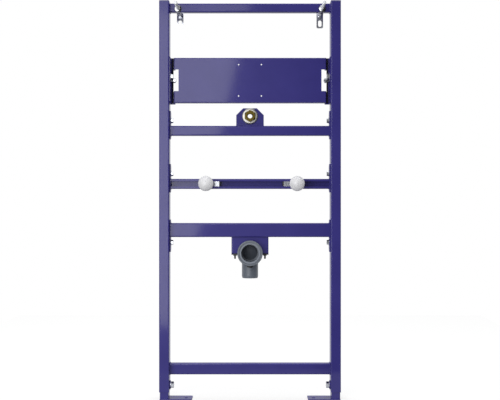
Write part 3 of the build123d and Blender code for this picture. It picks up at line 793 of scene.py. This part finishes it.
shader = add_node(tree, "ShaderNodeBsdfPrincipled", {
    "Base Color": tones.outputs["Color"],
    "Roughness": 0.55,
    "Normal": skin.outputs["Normal"],
    "IOR": 1.5,
})
add_node(tree, "ShaderNodeOutputMaterial", {"Surface": shader.outputs["BSDF"]})
dress(grey_rubber, "drain_seal")

# Shadow crescent: a dark crescent in the spigot's front, just below the mouth, in the shade under the
# mouth's ring.
# It is painted shadow: a thin lens in the black rubber material that follows the pipe's round.
CRESCENT_WIDTH = 19 * mm
CRESCENT_HEIGHT = 6.4 * mm
CRESCENT_DROP = 41.2 * mm
CRESCENT_PROUD = 0.25 * mm
CRESCENT_THICK = 1.2 * mm
LENS_CUT = 0.35
LENS_HALF = 0.94
LENS_RIM = 0.12
LENS_SIDES = 48
SPIGOT_RADIUS = 25 * mm
low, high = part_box("drain_elbow")
spigot_x = (low[0] + high[0]) / 2
spigot_y = high[1] - SPIGOT_RADIUS
crescent_top = high[2] - (high[0] - low[0]) / 2 - CRESCENT_DROP
bm = bmesh.new()
bmesh.ops.create_circle(bm, cap_ends=True, segments=LENS_SIDES, radius=1)
bmesh.ops.bisect_plane(
    bm, geom=bm.verts[:] + bm.edges[:] + bm.faces[:],
    plane_co=(0, LENS_CUT, 0), plane_no=(0, 1, 0), clear_outer=True,
)
bmesh.ops.inset_region(bm, faces=bm.faces[:], thickness=LENS_RIM, use_even_offset=True)
bmesh.ops.triangulate(bm, faces=bm.faces[:])
bmesh.ops.subdivide_edges(bm, edges=bm.edges[:], cuts=2, use_grid_fill=True)
for vert in bm.verts:
    across = vert.co.x * CRESCENT_WIDTH / 2 / LENS_HALF
    up = (vert.co.y - LENS_CUT) * CRESCENT_HEIGHT / (1 + LENS_CUT)
    edge = min(1.0, (1.0 - vert.co.xy.length) / LENS_RIM)
    reach = SPIGOT_RADIUS + CRESCENT_PROUD * max(0.0, edge)
    angle = across / SPIGOT_RADIUS
    vert.co = (spigot_x + reach * math.sin(angle), spigot_y - reach * math.cos(angle), crescent_top + up)
bmesh.ops.recalc_face_normals(bm, faces=bm.faces[:])
bmesh.ops.solidify(bm, geom=bm.faces[:], thickness=CRESCENT_THICK)
bmesh.ops.recalc_face_normals(bm, faces=bm.faces[:])
finish_piece(bm, "elbow_painted_shadow_crescent", black_rubber_and_shade, "frame")

# Pipe clamp: a saddle under the socket, drawn up to the bracket by two M6 studs with nuts.
# Saddle, studs and nuts are all in the black enamel.
CLAMP_STUD_RADIUS = 3 * mm
CLAMP_STUD_PITCH = 1.0 * mm
CLAMP_STUD_SPREAD = 45.6 * mm
CLAMP_STUD_RISE = 10 * mm
CLAMP_STUD_DROP = 12.5 * mm
CLAMP_NUT_FLATS = 10 * mm
CLAMP_NUT_THICK = 3.2 * mm
CLAMP_NUT_BORE = 0.75 * CLAMP_STUD_RADIUS
CLAMP_STUD_STEPS = 14
CLAMP_STUD_SHARP = 28
EAR_THICK = 3 * mm
TRAY_THICK = 3 * mm
dress(black_enamel, "pipe_clamp")
low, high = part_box("pipe_clamp")
clamp_x = (low[0] + high[0]) / 2
clamp_y = (low[1] + high[1]) / 2
ear_top = high[2]
ear_bottom = ear_top - EAR_THICK
stud_length = CLAMP_STUD_RISE + EAR_THICK + CLAMP_STUD_DROP
bm = bmesh.new()
for x in (clamp_x - CLAMP_STUD_SPREAD, clamp_x + CLAMP_STUD_SPREAD):
    stud = thread(bm, CLAMP_STUD_RADIUS, CLAMP_STUD_PITCH, stud_length, CLAMP_STUD_STEPS)
    set_in_place(bm, stud, "z", (x, clamp_y, ear_bottom - CLAMP_STUD_DROP))
    for z in (ear_top + TRAY_THICK, ear_bottom - CLAMP_NUT_THICK):
        nut = hexagon(bm, CLAMP_NUT_FLATS, CLAMP_NUT_THICK, CLAMP_NUT_BORE, True)
        set_in_place(bm, nut, "z", (x, clamp_y, z))
finish_piece(bm, "pipe_clamp_studs", black_enamel, "frame", CLAMP_STUD_SHARP)

# Floor: white paper under the feet, which takes the frame's faint shadow. It glows for the camera and in
# reflections only, so that it is white in the picture without more light on the frame. It ends a little way
# in front of the feet, where it would hide the softbox's lower part from the paint.
FLOOR_SIZE = 1.2
FLOOR_AHEAD = 0.45
FLOOR_DROP = 0.5 * mm
FLOOR_GLOW = 0.72
middle_x = (cad_low[0] + cad_high[0]) / 2
floor_mesh = bpy.data.meshes.new("floor")
bm = bmesh.new()
bmesh.ops.create_grid(bm, x_segments=1, y_segments=1, size=FLOOR_SIZE)
bm.to_mesh(floor_mesh)
bm.free()
floor = bpy.data.objects.new("floor", floor_mesh)
bpy.context.scene.collection.objects.link(floor)
floor.location = (middle_x, FLOOR_SIZE - FLOOR_AHEAD, -FLOOR_DROP)
floor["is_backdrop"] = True
paper, tree, place = start_material("white_paper")
path = add_node(tree, "ShaderNodeLightPath", {})
seen = add_node(
    tree, "ShaderNodeMath",
    {0: path.outputs["Is Camera Ray"], 1: path.outputs["Is Transmission Ray"]}, operation="MAXIMUM",
)
seen = add_node(
    tree, "ShaderNodeMath", {0: seen.outputs[0], 1: path.outputs["Is Glossy Ray"]}, operation="MAXIMUM",
)
glow = add_node(tree, "ShaderNodeMath", {0: seen.outputs[0], 1: FLOOR_GLOW}, operation="MULTIPLY")
shader = add_node(tree, "ShaderNodeBsdfPrincipled", {
    "Base Color": linear("#808080"),
    "Roughness": 0.9,
    "Specular IOR Level": 0.0,
    "Emission Color": (1, 1, 1, 1),
    "Emission Strength": glow.outputs[0],
})
add_node(tree, "ShaderNodeOutputMaterial", {"Surface": shader.outputs["BSDF"]})
floor_mesh.materials.append(paper)

# Studio: the backdrop is white for the camera and in reflections. On the camera's side glossy faces mirror
# a dark room, with a white ceiling and a dim glow beside the softbox. Less diffuse light comes from below
# and from in front.
AMBIENT_ABOVE = 1.15
AMBIENT_BELOW = 0.4
AMBIENT_FRONT = 0.15
WALL = 0.03
CEILING = 1.0
GLOW = 0.75
world = bpy.data.worlds.new("studio")
bpy.context.scene.world = world
world.use_nodes = True
world.cycles.sampling_method = "NONE"
tree = world.node_tree
tree.nodes.clear()
path = add_node(tree, "ShaderNodeLightPath", {})
aim = add_node(tree, "ShaderNodeTexCoord", {})
way = add_node(tree, "ShaderNodeSeparateXYZ", {"Vector": aim.outputs["Generated"]})
ambient = add_node(
    tree, "ShaderNodeMapRange",
    {
        "Value": way.outputs["Z"],
        "From Min": -0.2, "From Max": 0.2,
        "To Min": AMBIENT_BELOW, "To Max": AMBIENT_ABOVE,
    },
)
in_front = add_node(
    tree, "ShaderNodeMapRange",
    {"Value": way.outputs["Y"], "From Min": -0.9, "From Max": -0.2, "To Min": AMBIENT_FRONT, "To Max": 1.0},
)
around = add_node(
    tree, "ShaderNodeMath",
    {0: ambient.outputs["Result"], 1: in_front.outputs["Result"]}, operation="MULTIPLY",
)
overhead = add_node(
    tree, "ShaderNodeMapRange",
    {"Value": way.outputs["Z"], "From Min": 0.35, "From Max": 0.85, "To Min": WALL, "To Max": CEILING},
    interpolation_type="SMOOTHSTEP",
)
glow = add_node(
    tree, "ShaderNodeMapRange",
    {"Value": way.outputs["X"], "From Min": -0.03, "From Max": 0.13, "To Min": GLOW, "To Max": 0.0},
    interpolation_type="SMOOTHSTEP",
)
ahead = add_node(tree, "ShaderNodeMath", {0: way.outputs["Y"], 1: -0.5}, operation="LESS_THAN")
mirrored = add_node(
    tree, "ShaderNodeMath",
    {0: glow.outputs["Result"], 1: ahead.outputs[0], 2: overhead.outputs["Result"]},
    operation="MULTIPLY_ADD",
)
unseen = add_node(
    tree, "ShaderNodeMix",
    {"Factor": path.outputs["Is Glossy Ray"], "A": around.outputs[0], "B": mirrored.outputs[0]},
)
backdrop = add_node(
    tree, "ShaderNodeMapRange",
    {"Value": way.outputs["Y"], "From Min": 0.0, "From Max": 0.2, "To Min": 0.0, "To Max": 1.0},
)
reflected = add_node(
    tree, "ShaderNodeMath",
    {0: backdrop.outputs["Result"], 1: path.outputs["Is Glossy Ray"]}, operation="MULTIPLY",
)
seen = add_node(
    tree, "ShaderNodeMath",
    {0: path.outputs["Is Camera Ray"], 1: path.outputs["Is Transmission Ray"]}, operation="MAXIMUM",
)
seen = add_node(
    tree, "ShaderNodeMath", {0: seen.outputs[0], 1: reflected.outputs[0]}, operation="MAXIMUM",
)
strength = add_node(
    tree, "ShaderNodeMix", {"Factor": seen.outputs[0], "A": unseen.outputs["Result"], "B": 1.0},
)
back = add_node(
    tree, "ShaderNodeBackground", {"Color": (1, 1, 1, 1), "Strength": strength.outputs["Result"]},
)
add_node(tree, "ShaderNodeOutputWorld", {"Surface": back.outputs[0]})


def softbox(name, centre, toward, width, height, radiance, tilt):
    """Hang a rectangular light that faces a point, turned about its own axis."""
    lamp = bpy.data.lights.new(name, "AREA")
    lamp.shape = "RECTANGLE"
    lamp.size = width
    lamp.size_y = height
    lamp.energy = radiance * math.pi * width * height
    holder = bpy.data.objects.new(name, lamp)
    bpy.context.scene.collection.objects.link(holder)
    aim = (Vector(toward) - Vector(centre)).to_track_quat("-Z", "Y").to_matrix().to_4x4()
    holder.matrix_world = Matrix.Translation(centre) @ aim @ Matrix.Rotation(tilt, 4, "Z")
    return holder


# The large softbox beside the camera leans and its upper strip is dimmer, and the paint mirrors its slanted
# edge. The fill in front only evens the light and isn't mirrored. The top softbox lights the upper faces.
SOFTBOX_LEAN = math.radians(-12.7)
softbox("left_softbox", (-0.959, -2.705, 0.944), (-0.959, 0, 0.944), 2.0, 1.837, 4.4, SOFTBOX_LEAN)
softbox("left_softbox_top", (-0.712, -2.705, 2.035), (-0.712, 0, 2.035), 2.0, 0.4, 2.6, SOFTBOX_LEAN)
fill = softbox("front_fill", (0.1, -1.4, 0.45), (0.1, 0, 0.45), 0.8, 0.8, 2.6, 0)
fill.visible_glossy = False
softbox("top_softbox", (middle_x, 0.5, 3.3), (middle_x, 0.1, 0), 2.5, 2.0, 2.8, 0)

# Camera: it stands square in front of the frame's middle. The picture spans 1.5 m at the posts' fronts,
# which is the scale read from the waste pipe.
CAMERA_DISTANCE = 2.68
PICTURE_WIDTH = 1.5
SENSOR_WIDTH = 36
camera_data = bpy.data.cameras.new("camera")
camera_data.sensor_width = SENSOR_WIDTH
camera_data.lens = SENSOR_WIDTH * CAMERA_DISTANCE / PICTURE_WIDTH
camera = bpy.data.objects.new("camera", camera_data)
bpy.context.scene.collection.objects.link(camera)
posts_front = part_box("left_post")[0][1]
camera.location = (middle_x, posts_front - CAMERA_DISTANCE, (cad_low[2] + cad_high[2]) / 2)
camera.rotation_euler = (math.pi / 2, 0, 0)
bpy.context.scene.camera = camera
bpy.context.scene.view_settings.view_transform = "Standard"

low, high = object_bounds()
